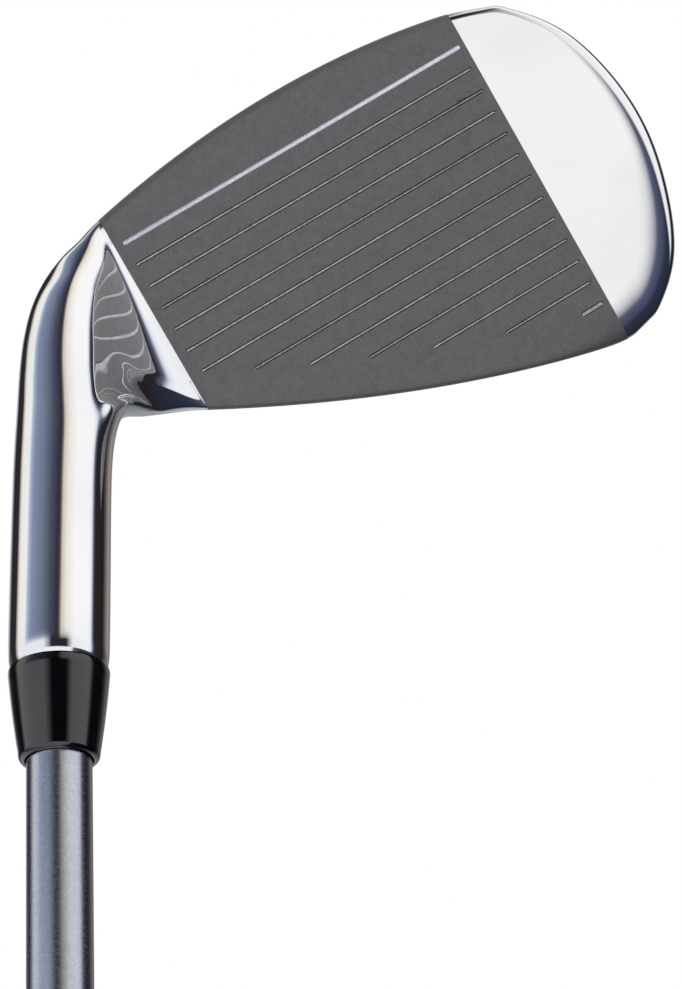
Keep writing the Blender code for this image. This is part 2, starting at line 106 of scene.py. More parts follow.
BORE_RADIUS = 5.24
RING = 22                       # control points round one section of the head
# a smooth ring is this much smaller than its control ring
RING_SHRINK = (2.0 + math.cos(2.0 * math.pi / RING)) / 3.0
FINE_LEVEL = 3                  # subdivision of the head's cage

# ---- shaft and what is on it ----
TIP_RADIUS = 4.49
BUTT_RADIUS = 7.62
SHAFT_WALL = 0.45
TAPER_START, TAPER_END = 110.0, 740.0
SHAFT_TIP = BORE_BOTTOM + 2.0
CAP_THICKNESS = 5.0
FERRULE_LENGTH = 13.2
GRIP_LENGTH = 268.0
GRIP_BUTT_RADIUS = 13.3
GRIP_MOUTH_RADIUS = 8.7
# the rolled lip at the grip's mouth: how much wider, and how far from the mouth
LIP = [(0.22, 5.0), (0.42, 4.2), (0.52, 3.0), (0.48, 1.6), (0.2, 0.5), (-0.2, 0.0)]
PATTERN_FROM, PATTERN_TO = CAP_THICKNESS + 8.0, GRIP_LENGTH - 7.0     # the moulded pattern's range of z
PATTERN_PITCH, PATTERN_STARTS = 5.2, 14.0       # its crossed grooves: spacing along z, and number in a turn
RING_PLACES = 0.03, 0.05, 0.93, 0.95, 0.97      # its plain rings, as shares of that range
RING_DEPTH, CROSS_DEPTH = 0.45, 0.34
VENT_RADIUS = 1.3

# finishes of the head, in the order of its material slots
# the last slot is painted shade: a darkened copy of the groove steel for each groove's lower wall
MIRROR, BLASTED, GROOVE, PAINT, SATIN, GROOVE_PAINTED_SHADE = range(6)
UPPER_WALL = range(5, 12)       # the sides of a groove's outline that lie above its middle


# ---- places on the club ----
def axis_z(s):
    """Height of a point on the shaft's axis, s towards the grip from the crossing."""
    return CROSSING_Z - s


def face_point(u, v, w):
    """A point given on the face, in the club's frame."""
    across = u - CROSSING_U
    up_face = v - CROSSING_V
    forward = -up_face * math.sin(LOFT) + w * math.cos(LOFT)
    up = up_face * math.cos(LOFT) + w * math.sin(LOFT)
    return Vector((across * math.sin(LIE) + up * math.cos(LIE), -forward,
                   CROSSING_Z + across * math.cos(LIE) - up * math.sin(LIE)))


FACE_ORIGIN = face_point(0.0, 0.0, 0.0)
ALONG_FACE = face_point(1.0, 0.0, 0.0) - FACE_ORIGIN
UP_FACE = face_point(0.0, 1.0, 0.0) - FACE_ORIGIN
OUT_OF_FACE = face_point(0.0, 0.0, 1.0) - FACE_ORIGIN


def mix(a, b, t):
    """Blend two numbers or two points."""
    if isinstance(a, (tuple, list)):
        return tuple(mix(x, y, t) for x, y in zip(a, b))
    return a + (b - a) * t


def clamp(value, low=0.0, high=1.0):
    """Keep a value between two limits."""
    return min(max(value, low), high)


def smooth(t):
    """Ease from 0 to 1."""
    t = clamp(t)
    return t * t * (3.0 - 2.0 * t)


def between(start, end, leave, arrive, t):
    """Value on a cubic from start to end that leaves and arrives at the given rates."""
    return ((1.0 + 2.0 * t) * (1.0 - t) ** 2 * start + t * (1.0 - t) ** 2 * leave
            + t * t * (3.0 - 2.0 * t) * end + t * t * (t - 1.0) * arrive)


# ---- making pieces ----
def add_object(name, data):
    """A new object in the scene."""
    made = bpy.data.objects.new(name, data)
    bpy.context.scene.collection.objects.link(made)
    return made


def add_piece(name, bm, finishes, sharp=35.0):
    """Turn a bmesh in millimetres into a smooth-shaded piece with the given finishes."""
    bmesh.ops.scale(bm, verts=bm.verts, vec=(MM, MM, MM))
    bmesh.ops.recalc_face_normals(bm, faces=bm.faces)
    mesh = bpy.data.meshes.new(name)
    bm.to_mesh(mesh)
    bm.free()
    for finish in finishes:
        mesh.materials.append(finish)
    mesh.shade_smooth()
    mesh.set_sharp_from_angle(angle=math.radians(sharp))
    return add_object(name, mesh)


def stands_for(piece, node):
    """A piece that takes a node's place: it rides on the club's root and the node is hidden."""
    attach(piece, "root")
    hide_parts(node)
    return piece


def settle(piece):
    """Apply a piece's modifiers to its mesh."""
    graph = bpy.context.evaluated_depsgraph_get()
    graph.update()
    finished = bpy.data.meshes.new_from_object(piece.evaluated_get(graph))
    piece.modifiers.clear()
    piece.data = finished


def bridge(bm, low, high):
    """Join two closed rings of vertices with a band of faces."""
    faces = []
    for k in range(len(low)):
        n = (k + 1) % len(low)
        faces.append(bm.faces.new((low[k], low[n], high[n], high[k])))
    return faces


def turned(profile, segments, tube=True, relief=None):
    """Turn a profile of (radius, z) about Z; relief(angle, radius, z) may move each radius."""
    bm = bmesh.new()
    rings = []
    for radius, z in profile:
        ring = []
        for k in range(segments):
            turn = 2.0 * math.pi * k / segments
            reach = relief(turn, radius, z) if relief else radius
            ring.append(bm.verts.new((reach * math.cos(turn), reach * math.sin(turn), z)))
        rings.append(ring)
    pairs = list(zip(rings, rings[1:]))
    if tube:
        pairs.append((rings[-1], rings[0]))
    for low, high in pairs:
        bridge(bm, low, high)
    if not tube:
        bm.faces.new(rings[0])
        bm.faces.new(rings[-1])
    return bm


def arc(centre, radius, start, end, steps):
    """Points along an arc in the profile's plane, angles in degrees."""
    points = []
    for k in range(steps + 1):
        turn = math.radians(mix(start, end, k / steps))
        points.append((centre[0] + radius * math.cos(turn), centre[1] + radius * math.sin(turn)))
    return points


# ---- the head ----
def leading_edge(u):
    """Height of the leading edge: a shallow bow."""
    return -8.6 + 0.0037 * (u - 30.0) ** 2


def top_line(u):
    """Height of the top line: rising to the toe and flattening there."""
    return 27.75 + 0.547 * u - 0.00275 * u * u


def through(points):
    """Control points whose smooth curve passes through the given points; the ends stay."""
    control = [tuple(p) for p in points]
    for _ in range(12):
        for k in range(1, len(points) - 1):
            control[k] = tuple((6.0 * p - a - b) / 4.0 for p, a, b in
                               zip(points[k], control[k - 1], control[k + 1]))
    return control


def along(points, lengths):
    """Points at the given distances along a polyline; a negative distance counts from the end."""
    runs = [math.dist(a, b) for a, b in zip(points, points[1:])]
    total = sum(runs)
    found = []
    for length in lengths:
        left = length if length >= 0.0 else total + length
        for (a, b), run in zip(zip(points, points[1:]), runs):
            if left <= run + 1e-9:
                break
            left -= run
        found.append(mix(a, b, left / run))
    return found


def front_column(points, near_bottom, near_top):
    """Nine points up the face along a line, with close pairs at both edges."""
    total = sum(math.dist(a, b) for a, b in zip(points, points[1:]))
    lengths = [0.0, near_bottom] + [total * k / 6.0 for k in range(1, 6)] + [-near_top, -1e-9]
    return along(points, lengths)


def section(front, bottom, top, falls=(0.0,) * 9):
    """One section of the blade as 22 points: up the face, over the top line, down the back
    and along the sole.  bottom and top are the steps from the front edge to the back edge; falls
    is how far each point of the front stands back."""
    ring = [(u, v, -fall) for (u, v), fall in zip(front, falls)]
    heights = [0.0, 0.06] + [k / 6.0 for k in range(1, 6)] + [0.96, 1.0]
    back = []
    for (u, v), h in zip(front, heights):
        step = mix(bottom, top, h)
        back.append((u + step[0], v + step[1], step[2]))
    first, last = ring[0], ring[-1]
    crown = [(last[0] + top[0] * t, last[1] + top[1] * t + 0.25, top[2] * t) for t in (0.3, 0.75)]
    down = (0.0, -math.cos(LOFT) * SOLE_CAMBER, -math.sin(LOFT) * SOLE_CAMBER)
    sole = [tuple(first[k] + bottom[k] * t + down[k] for k in range(3)) for t in (0.72, 0.2)]
    return ring + crown + list(reversed(back)) + sole


def sole_step(width, inward=0.0):
    """From the leading edge straight back along the ground to the sole's rear edge."""
    return (inward, width * math.sin(LOFT), -width * math.cos(LOFT))


def blade_sections():
    """Sections from the heel to the toe."""
    straight = [-3.6, FACE_HEEL_END - 0.2, FACE_HEEL_END + 1.2, 7.0, 18.0, 30.0, 41.0, 50.0]
    top = (0.0, -1.0, -TOP_LINE)
    rings = []
    for u in straight:
        front = front_column([(u, leading_edge(u)), (u, top_line(u))], EDGE_SOFT, TOP_SOFT)
        width = mix(SOLE_HEEL, SOLE_MIDDLE, smooth((u + 8.0) / 34.0))
        rings.append(section(front, sole_step(width), top))
    toe = through(front_column(TOE_OUTLINE, EDGE_SOFT, TOE_SOFT))
    base = front_column([(FACE_TOE_LINE, leading_edge(FACE_TOE_LINE)),
                         (FACE_TOE_LINE, top_line(FACE_TOE_LINE))], EDGE_SOFT, TOE_SOFT)
    for t, falls in TOE_FALLS.items():
        front = [mix(a, b, t) for a, b in zip(base, toe)]
        width = mix(SOLE_MIDDLE, SOLE_TOE, smooth(t))
        rings.append(section(front, sole_step(width, -1.0 * t), (-1.2 * t, -1.0, -TOP_LINE), falls))
    return rings


def ring_turn(k):
    """Angle round the axis of a section's point number k."""
    return 2.0 * math.pi * (RING / 2.0 - 1.5 - k) / RING


def hosel_ring(s, radius, shift=0.0):
    """A round section of the hosel; its centre can lean towards the toe."""
    radius /= RING_SHRINK
    ring = []
    for k in range(RING):
        along_x, along_y = radius * math.cos(ring_turn(k)), -radius * math.sin(ring_turn(k))
        ring.append(Vector((shift + along_x, along_y, axis_z(s))))
    return ring


def curve(places, z):
    """Values that follow a smooth curve through rows of (z, value, value, value)."""
    step = 0
    while step < len(places) - 2 and z > places[step + 1][0]:
        step += 1
    low, high = places[step], places[step + 1]
    before, after = places[max(step - 1, 0)], places[min(step + 2, len(places) - 1)]
    run = high[0] - low[0]
    t = clamp((z - low[0]) / run)
    values = []
    for k in (1, 2, 3):
        leave = (high[k] - before[k]) / (high[0] - before[0]) * run
        arrive = (after[k] - low[k]) / (after[0] - low[0]) * run
        values.append(between(low[k], high[k], leave, arrive, t))
    return values


def neck_front(x, z):
    """y of the neck's front: the hosel's round front, and a hollow web from it to the face."""
    left, right, depth = curve(NOSE_PLACES, z)
    half = (right - left) / 2.0
    across = clamp((x - right) / half + 1.0, -1.0, NOSE_TANGENT)
    y = -depth * math.sqrt(1.0 - across * across)
    tangent_x = right - half + half * NOSE_TANGENT
    if x <= tangent_x:
        return y
    reach = BLAST_HEEL - CROSSING_U
    edge_up = (reach * math.cos(LIE) - z) / math.sin(LIE)
    edge_x = reach * math.sin(LIE) + edge_up * math.cos(LIE)
    edge_y = edge_up * math.tan(LOFT)
    if x >= edge_x:
        return (x * math.cos(LIE) - z * math.sin(LIE)) * math.tan(LOFT)
    run = edge_x - tangent_x
    slope = depth * NOSE_TANGENT / (half * math.sqrt(1.0 - NOSE_TANGENT ** 2))
    return between(y, edge_y, run * slope, run * WEB_SLOPE, (x - tangent_x) / run)


def neck_rings(heel_section):
    """Sections that fan round the crotch and turn the hosel's circle into the heel of the blade."""
    heel = []
    for point in (face_point(*corner) for corner in heel_section):
        heel.append((point.x * math.cos(LIE) - point.z * math.sin(LIE), point.y))
    inner = max(reach for reach, _ in heel)
    outer = min(reach for reach, _ in heel)
    rings = []
    for (low_x, low_z), (high_x, high_z), share in zip(CROTCH_OUTLINE, HEEL_OUTLINE, NECK_SHARE):
        ring = []
        for k, (reach, heel_y) in enumerate(heel):
            angle = ring_turn(k)
            across = mix((1.0 - math.cos(angle)) / 2.0, (inner - reach) / (inner - outer), share)
            x, z = mix(low_x, high_x, across), mix(low_z, high_z, across)
            y = mix(-HOSEL_RADIUS * 0.98 * math.sin(angle), heel_y, share)
            if 0 < k < 8:
                y = mix(y, neck_front(x, z), smooth(across / 0.35))
            ring.append(Vector((x, y, CROSSING_Z + z)))
        rings.append(ring)
    return rings


def head_cage():
    """The head's control cage: a tube of sections, open only at the hosel's bore."""
    blade = blade_sections()
    rings = [hosel_ring(BORE_BOTTOM, BORE_RADIUS), hosel_ring(HOSEL_TOP, BORE_RADIUS),
             hosel_ring(HOSEL_TOP, HOSEL_RADIUS - 0.5), hosel_ring(HOSEL_TOP - 0.8, HOSEL_RADIUS - 0.12),
             hosel_ring(HOSEL_TOP - 3.0, HOSEL_RADIUS),
             hosel_ring(46.0, HOSEL_RADIUS - 0.02, 0.25), hosel_ring(33.0, HOSEL_RADIUS - 0.1, 0.5),
             hosel_ring(27.0, HOSEL_RADIUS - 0.05, 0.8)]
    creased = 3
    rings += neck_rings(blade[0])
    first_blade = len(rings)
    rings += [[face_point(*point) for point in ring] for ring in blade]
    for point in rings[first_blade][1:8]:
        point.y = min(point.y, neck_front(point.x, point.z - CROSSING_Z))
    bm = bmesh.new()
    verts = [[bm.verts.new(p) for p in ring] for ring in rings]
    crease = bm.edges.layers.float.new("crease_edge")
    for low, high in zip(verts, verts[1:]):
        bridge(bm, low, high)
    bm.faces.new(verts[0])
    for ring in verts[:creased]:
        for k in range(RING):
            bm.edges.get((ring[k], ring[(k + 1) % RING]))[crease] = 1.0
    close_toe(bm, verts[-1])
    cut_cavity(bm, verts, first_blade)
    return bm


def close_toe(bm, ring):
    """Fill the last section with a grid of faces across the blade's thickness."""
    rows = []
    for j in range(9):
        front, back = ring[j], ring[19 - j]
        if j == 0:
            rows.append([front, ring[21], ring[20], back])
        elif j == 8:
            rows.append([front, ring[9], ring[10], back])
        else:
            bulge = (front.co - ring[0].co.lerp(ring[8].co, j / 8.0)).normalized() * 0.5
            middle = [bm.verts.new(front.co.lerp(back.co, t) + bulge) for t in (0.28, 0.72)]
            rows.append([front, *middle, back])
    for low, high in zip(rows, rows[1:]):
        for k in range(3):
            bm.faces.new((low[k], low[k + 1], high[k + 1], high[k]))


def cut_cavity(bm, verts, first_blade):
    """Sink the middle of the back into a pocket whose floor is parallel to the face."""
    picked = []
    bm.faces.ensure_lookup_table()
    for column in (first_blade + step for step in CAVITY_COLUMNS):
        for k in CAVITY_POINTS:
            corners = {verts[column][k], verts[column][k + 1], verts[column + 1][k], verts[column + 1][k + 1]}
            picked += [f for f in verts[column][k].link_faces if set(f.verts) == corners]
    bm.normal_update()
    for step in (CAVITY_RIM, 0.6, 0.4):
        walls = bmesh.ops.inset_region(bm, faces=picked, thickness=step)["faces"]
    for f in walls + picked:
        f.material_index = SATIN
    origin = face_point(0.0, 0.0, -FACE_THICKNESS)
    for v in {v for f in picked for v in f.verts}:
        v.co += OUT_OF_FACE * (origin - v.co).dot(OUT_OF_FACE)
    for f in bmesh.ops.inset_region(bm, faces=picked, thickness=0.8)["faces"]:
        f.material_index = SATIN


def groove_spans():
    """Heel and toe end of every groove, from the lowest up."""
    spans = []
    for k in range(GROOVE_COUNT):
        v = k * GROOVE_PITCH
        start = 0.0
        while top_line(start) - GROOVE_TOP_MARGIN < v:
            start += 0.1
        if k == GROOVE_COUNT - 1:
            start = TOP_MARK_START
        spans.append((v, start, GROOVE_TOE_END))
    return spans


def groove_outline(v, start, end, width, w):
    """A long slot with round ends, level with the face."""
    half = width / 2.0
    return [face_point(u, r, w) for u, r in
            arc((end - GROOVE_WIDTH / 2.0, v), half, -90.0, 90.0, 8)
            + arc((start + GROOVE_WIDTH / 2.0, v), half, 90.0, 270.0, 8)]


def groove_cutter():
    """All the grooves as one cutter: sloping walls down to a narrower floor; the lower wall of each takes a
    darkened copy of the steel, a painted shade.
    """
    bm = bmesh.new()
    for number, (v, start, end) in enumerate(groove_spans()):
        painted = number == 0
        wide, depth = (PAINT_WIDTH, PAINT_DEPTH) if painted else (GROOVE_WIDTH, GROOVE_DEPTH)
        if number == GROOVE_COUNT - 1:
            wide += MARK_EXTRA
        floor = wide - (GROOVE_WIDTH - GROOVE_FLOOR) * (PAINT_SLOPE if painted else 1.0)
        levels = [(2.0 * wide - floor, depth), (wide, 0.0), (mix(wide, floor, 0.8), -0.8 * depth),
                  (floor - FLOOR_LESS, -depth)]
        rings = [[bm.verts.new(p) for p in groove_outline(v, start, end, width, w)] for width, w in levels]
        for ring in (rings[0], rings[-1]):
            bm.faces.new(ring).material_index = PAINT if painted else GROOVE
        # floor and upper walls take the bare steel, lower walls the darkened copy that paints their shade
        for low, high in zip(rings, rings[1:]):
            for k, side in enumerate(bridge(bm, low, high)):
                side.material_index = PAINT if painted else GROOVE if k in UPPER_WALL else GROOVE_PAINTED_SHADE
    return bm


def split_at(bm, point, normal, keep):
    """Cut the faces that keep() picks along a plane, so that a finish can end there."""
    chosen = [f for f in bm.faces if keep(f.calc_center_median())]
    around = {v for f in chosen for v in f.verts} | {e for f in chosen for e in f.edges}
    bmesh.ops.bisect_plane(bm, geom=list(around) + chosen, dist=1e-7, plane_co=point * MM, plane_no=normal)


def face_place(point):
    """u, v and w in millimetres of a point in metres."""
    away = point / MM - FACE_ORIGIN
    return away.dot(ALONG_FACE), away.dot(UP_FACE), away.dot(OUT_OF_FACE)


def from_outline(x, z):
    """Distance from a point of the neck to the edge it shares with the crotch, seen from the front."""
    corners = HOSEL_EDGE + CROTCH_OUTLINE
    for u in (-1.0, 4.0):
        place = face_point(u, top_line(u), 0.0)
        corners.append((place.x, place.z - CROSSING_Z))
    nearest = 100.0
    for (ax, az), (bx, bz) in zip(corners, corners[1:]):
        run = (bx - ax) ** 2 + (bz - az) ** 2
        t = clamp(((x - ax) * (bx - ax) + (z - az) * (bz - az)) / run)
        nearest = min(nearest, math.hypot(x - mix(ax, bx, t), z - mix(az, bz, t)))
    return nearest


def shape_neck(piece):
    """Draw the front of the neck onto the exact round front and web."""
    bm = bmesh.new()
    bm.from_mesh(piece.data)
    bm.normal_update()
    for v in bm.verts:
        x, y, z = v.co.x / MM, v.co.y / MM, v.co.z / MM - CROSSING_Z
        u = face_place(v.co)[0]
        if u > BLAST_HEEL or not NECK_FROM < z < NECK_TO or v.normal.y > -FRONT_FACING:
            continue
        share = smooth((z - NECK_FROM) / NECK_FADES[0]) * smooth((NECK_TO - z) / NECK_FADES[1])
        share *= smooth((-FRONT_FACING - v.normal.y) / FRONT_FADE) * smooth(from_outline(x, z) / CROTCH_FADE)
        v.co.y = mix(y, neck_front(x, z), share) * MM
    bm.to_mesh(piece.data)
    bm.free()


def mask_blasting(piece):
    """Give the front of the blade between heel and toe boundary its blasted finish."""
    bm = bmesh.new()
    bm.from_mesh(piece.data)

    def on_front(point):
        return face_place(point)[2] > -FRONT_DEPTH

    for u in (BLAST_HEEL, BLAST_TOE):
        split_at(bm, face_point(u, 0.0, 0.0), ALONG_FACE, on_front)
    split_at(bm, face_point(0.0, 0.0, -BLAST_DEPTH), OUT_OF_FACE, on_front)
    for f in bm.faces:
        u, _, w = face_place(f.calc_center_median())
        if BLAST_HEEL < u < BLAST_TOE and w > -BLAST_DEPTH and f.material_index == MIRROR:
            f.material_index = BLASTED
    bm.to_mesh(piece.data)
    bm.free()


def make_head(finishes):
    """The head: smooth cage, exact neck front, blasted face, grooves with sloping walls."""
    head = add_piece("head_forging", head_cage(), finishes)
    rounding = head.modifiers.new("rounding", "SUBSURF")
    rounding.levels = rounding.render_levels = FINE_LEVEL
    rounding.use_limit_surface = True
    settle(head)
    shape_neck(head)
    mask_blasting(head)
    cutter = add_piece("groove_cutter", groove_cutter(), finishes)
    cutting = head.modifiers.new("grooves", "BOOLEAN")
    cutting.operation = "DIFFERENCE"
    cutting.solver = "EXACT"
    cutting.object = cutter
    settle(head)
    bpy.data.objects.remove(cutter, do_unlink=True)
    head.data.shade_smooth()
    head.data.set_sharp_from_angle(angle=math.radians(32.0))
    return stands_for(head, "head_body")


# ---- shaft, ferrule, grip and cap ----
def shaft_radius(s):
    """Outer radius of the shaft: a parallel tip, a straight taper and a parallel butt."""
    t = (s - TAPER_START) / (TAPER_END - TAPER_START)
    return mix(TIP_RADIUS, BUTT_RADIUS, clamp(t))


def make_shaft(finish):
    """Seamless tube, with a soft edge at both ends."""
    tip, butt = SHAFT_TIP, CROSSING_Z - CAP_THICKNESS - GAP
    stations = [tip + 0.12, TAPER_START, TAPER_END, butt - 0.12]
    outside = [(shaft_radius(s), axis_z(s)) for s in stations]
    inside = [(shaft_radius(s) - SHAFT_WALL, axis_z(s)) for s in reversed(stations)]
    ends = {s: (shaft_radius(s) - SHAFT_WALL / 2.0, axis_z(s)) for s in (tip, butt)}
    shaft = add_piece("shaft_tube", turned([ends[tip], *outside, ends[butt], *inside], 72), [finish])
    return stands_for(shaft, "shaft")


def make_ferrule(finish):
    """Cone from the hosel's width down to the shaft, with a rounded end."""
    start, end = HOSEL_TOP + GAP, HOSEL_TOP + GAP + FERRULE_LENGTH
    bore, nose, nose_radius = TIP_RADIUS + GAP, 5.58, 0.9
    outside = [(HOSEL_RADIUS - 0.3, start), (HOSEL_RADIUS - 0.08, start + 0.12), (HOSEL_RADIUS, start + 0.5)]
    for step in range(1, 15):
        t = step / 15.0
        belly = 0.1 * math.sin(math.pi * t)
        outside.append((mix(HOSEL_RADIUS, nose, t) + belly, mix(start + 0.5, end - nose_radius, t)))
    for step in range(7):
        turn = math.radians(15.0 * step)
        outside.append((nose - nose_radius * (1.0 - math.cos(turn)) * 0.75,
                        end - nose_radius * (1.0 - math.sin(turn))))
    outline = [(radius, axis_z(s)) for radius, s in outside + [(bore, end), (bore, start)]]
    return stands_for(add_piece("ferrule_ring", turned(outline, 96), [finish]), "ferrule")


def grip_radius(z):
    """Outer radius of the grip at a height above its butt."""
    low, high = CAP_THICKNESS + GAP + 9.0, GRIP_LENGTH - 6.0
    t = clamp((z - low) / (high - low))
    taper = mix(GRIP_BUTT_RADIUS - 0.6, GRIP_MOUTH_RADIUS + 0.2, t ** 0.72)
    return mix(GRIP_BUTT_RADIUS, taper, smooth((z - 9.0) / 5.0))


def grip_relief(turn, radius, z):
    """Depth of the moulded pattern: panels of crossed grooves between smooth bands and rings."""
    if radius < grip_radius(z) - 0.6 or z > PATTERN_TO or z < PATTERN_FROM:
        return radius
    span = PATTERN_TO - PATTERN_FROM
    t = (z - PATTERN_FROM) / span
    rings = 0.0
    for place in RING_PLACES:
        rings = max(rings, 1.0 - abs(t - place) * span / 0.9)
    panel = smooth((t - 0.075) / 0.01) * smooth((0.905 - t) / 0.01)
    lobe = abs(math.sin(2.0 * turn)) ** 0.5
    panel *= smooth((lobe - 0.42) / 0.12)
    rise = z / PATTERN_PITCH
    cross = 0.0
    for way in (-1.0, 1.0):
        phase = (rise + way * turn * PATTERN_STARTS / (2.0 * math.pi)) % 1.0
        cross = max(cross, 1.0 - abs(phase - 0.5) / 0.16)
    depth = max(RING_DEPTH * max(rings, 0.0), CROSS_DEPTH * panel * smooth(cross))
    return radius - depth


def make_grip(finish):
    """Rubber sleeve with a moulded pattern, a rolled lip at the mouth and a wide butt."""
    low = CAP_THICKNESS + GAP
    allowance = 2.0 * GAP + 0.2
    outside = [(GRIP_BUTT_RADIUS - 0.25, low), (GRIP_BUTT_RADIUS, low + 0.3)]
    rows = 330
    for k in range(rows + 1):
        z = mix(low + 1.0, GRIP_LENGTH - 5.6, k / rows)
        outside.append((grip_radius(z), z))
    for wider, from_mouth in LIP:
        outside.append((GRIP_MOUTH_RADIUS + wider, GRIP_LENGTH - from_mouth))
    inside = [(shaft_radius(CROSSING_Z - z) + allowance, z)
              for z in (GRIP_LENGTH, CROSSING_Z - TAPER_END, low)]
    bm = turned(outside + inside, 128, relief=grip_relief)
    return stands_for(add_piece("grip_sleeve", bm, [finish], sharp=60.0), "grip")


def make_cap(finish):
    """End cap with a rounded rim, two fine rings and a vent through its middle."""
    rim = 2.4
    edge = GRIP_BUTT_RADIUS - rim
    under = [(VENT_RADIUS + 0.3, 0.0), (4.0, 0.0)]
    for centre in (4.6, 8.6):
        under += [(centre + 0.32 * math.cos(a), 0.32 * math.sin(a)) for a in
                  (math.pi * (1.0 - k / 6.0) for k in range(7))]
    profile = under + [(edge, 0.0)] + arc((edge, rim), rim, -80.0, 0.0, 8)
    profile += [(GRIP_BUTT_RADIUS, CAP_THICKNESS - 0.3), (GRIP_BUTT_RADIUS - 0.3, CAP_THICKNESS),
                (VENT_RADIUS, CAP_THICKNESS), (VENT_RADIUS, 0.3)]
    cap = add_piece("butt_cap", turned(profile, 96), [finish])
    return stands_for(cap, "grip_cap")


# ---- what is in the cavity ----
def rounded(corners, radius, steps=8):
    """An outline whose corners are replaced by arcs."""
    outline = []
    count = len(corners)
    for k in range(count):
        here = Vector(corners[k])
        before = (Vector(corners[k - 1]) - here).normalized()
        after = (Vector(corners[(k + 1) % count]) - here).normalized()
        half = before.angle(after) / 2.0
        centre = here + (before + after).normalized() * radius / math.sin(half)
        start = here + before * radius / math.tan(half) - centre
        end = here + after * radius / math.tan(half) - centre
        for step in range(steps + 1):
            arm = start.lerp(end, step / steps).normalized() * radius
            outline.append(tuple(centre + arm))
    return outline


def shrunk(outline, by):
    """The outline moved inwards."""
    count = len(outline)
    moved = []
    for k in range(count):
        before, here, after = (Vector(outline[j % count]) for j in (k - 1, k, k + 1))
        away = (after - before).normalized()
        moved.append(tuple(here + Vector((-away.y, away.x)) * by))
    return moved


def stacked(outlines):
    """A plate behind the face, from outlines in u and v at their depths w."""
    bm = bmesh.new()
    rings = [[bm.verts.new(face_point(u, v, w)) for u, v in outline] for outline, w in outlines]
    bm.faces.new(rings[0])
    bm.faces.new(rings[-1])
    for low, high in zip(rings, rings[1:]):
        bridge(bm, low, high)
    return bm


def make_badge(finish):
    """Aluminium plate with a chamfer and a sunk middle."""
    front = -FACE_THICKNESS - 2.0 * GAP - 0.4
    back = front - 1.1
    outline = rounded([(16.5, 14.2), (55.5, 14.2), (57.4, 34.5), (51.5, 36.6), (16.5, 24.4)], 3.0)
    inner = shrunk(outline, 1.7)
    bm = stacked([(outline, front), (outline, back + 0.25), (shrunk(outline, 0.25), back),
                  (shrunk(outline, 1.5), back), (inner, back + 0.22), (shrunk(outline, 1.9), back + 0.25)])
    return stands_for(add_piece("cavity_plate", bm, [finish]), "cavity_badge")


def make_damper(finish):
    """Soft bar with a rounded top."""
    front = -FACE_THICKNESS - GAP
    back = front - 4.0
    outline = rounded([(18.0, 9.5), (51.0, 9.5), (52.0, 13.3), (17.0, 13.3)], 1.5)
    bm = stacked([(outline, front), (outline, back + 0.8), (shrunk(outline, 0.24), back + 0.24),
                  (shrunk(outline, 0.8), back)])
    bar = add_piece("damper_bar", bm, [finish])
    return stands_for(bar, "cavity_damper")


# ---- shader helpers ----
def put(tree, kind, **settings):
    """Add a shader node."""
    node = tree.nodes.new("ShaderNode" + kind)
    for name, value in settings.items():
        setattr(node, name, value)
    return node


def feed(tree, socket, value):
    """Set a socket to a value, or link another socket to it."""
    if isinstance(value, bpy.types.NodeSocket):
        tree.links.new(value, socket)
    elif value is not None:
        socket.default_value = value


def feed_all(tree, node, **values):
    """Feed several sockets of a node; _ in a name stands for a space."""
    for name, value in values.items():
        feed(tree, node.inputs[name.replace("_", " ")], value)


def maths(tree, operation, first, second=None, clamp=False):
    """A Math node's result."""
    node = put(tree, "Math", operation=operation, use_clamp=clamp)
    feed(tree, node.inputs[0], first)
    feed(tree, node.inputs[1], second)
    return node.outputs[0]


def remap(tree, value, low, high, to_low=0.0, to_high=1.0):
    """A value taken smoothly from one range to another."""
    node = put(tree, "MapRange", interpolation_type="SMOOTHSTEP")
    feed_all(tree, node, Value=value, From_Min=low, From_Max=high, To_Min=to_low, To_Max=to_high)
    return node.outputs["Result"]


def position(tree):
    """Position on the piece, in metres."""
    return put(tree, "TexCoord").outputs["Object"]


def noise(tree, vector, scale, detail=3.0, rough=0.55):
    """A noise texture's value."""
    node = put(tree, "TexNoise")
    feed_all(tree, node, Vector=vector, Scale=scale, Detail=detail, Roughness=rough)
    return node.outputs["Fac"]


def blend_colours(tree, share, first, second):
    """Mix two colours by a share."""
    node = put(tree, "Mix", data_type="RGBA")
    feed(tree, node.inputs["Factor"], share)
    feed(tree, node.inputs[6], first)
    feed(tree, node.inputs[7], second)
    return node.outputs[2]


def rgb(red, green, blue):
    """A display colour, 0 to 255, as the linear colour a socket takes."""
    shares = [c / 255.0 for c in (red, green, blue)]
    return (*[((c + 0.055) / 1.055) ** 2.4 if c > 0.04 else c / 12.92 for c in shares], 1.0)


def new_group(name, takes, gives):
    """An empty shader group with its number sockets; returns it and its two ends."""
    group = bpy.data.node_groups.new(name, "ShaderNodeTree")
    for label, value in takes.items():
        socket = group.interface.new_socket(label, in_out="INPUT", socket_type="NodeSocketFloat")
        socket.default_value = value
    for label in gives:
        group.interface.new_socket(label, in_out="OUTPUT", socket_type="NodeSocketFloat")
    return group, group.nodes.new("NodeGroupInput"), group.nodes.new("NodeGroupOutput")


def grain_group():
    """Fine grain in two sizes: a height for the bump and a mask for the colour."""
    group, takes, gives = new_group("fine_grain", {"Size": 0.0003, "Softness": 0.5}, ("Height", "Mask"))
    where = position(group)
    scale = maths(group, "DIVIDE", 1.0, takes.outputs["Size"])
    fine = noise(group, where, scale, 4.0)
    coarse = noise(group, where, maths(group, "MULTIPLY", scale, 0.22), 2.0)
    low = maths(group, "MULTIPLY", takes.outputs["Softness"], -0.5)
    low = maths(group, "ADD", low, 0.5)
    high = maths(group, "SUBTRACT", 1.0, low)
    both = maths(group, "ADD", maths(group, "MULTIPLY", fine, 0.65), maths(group, "MULTIPLY", coarse, 0.35))
    feed_all(group, gives, Height=remap(group, fine, low, high), Mask=remap(group, both, 0.3, 0.7))
    return group


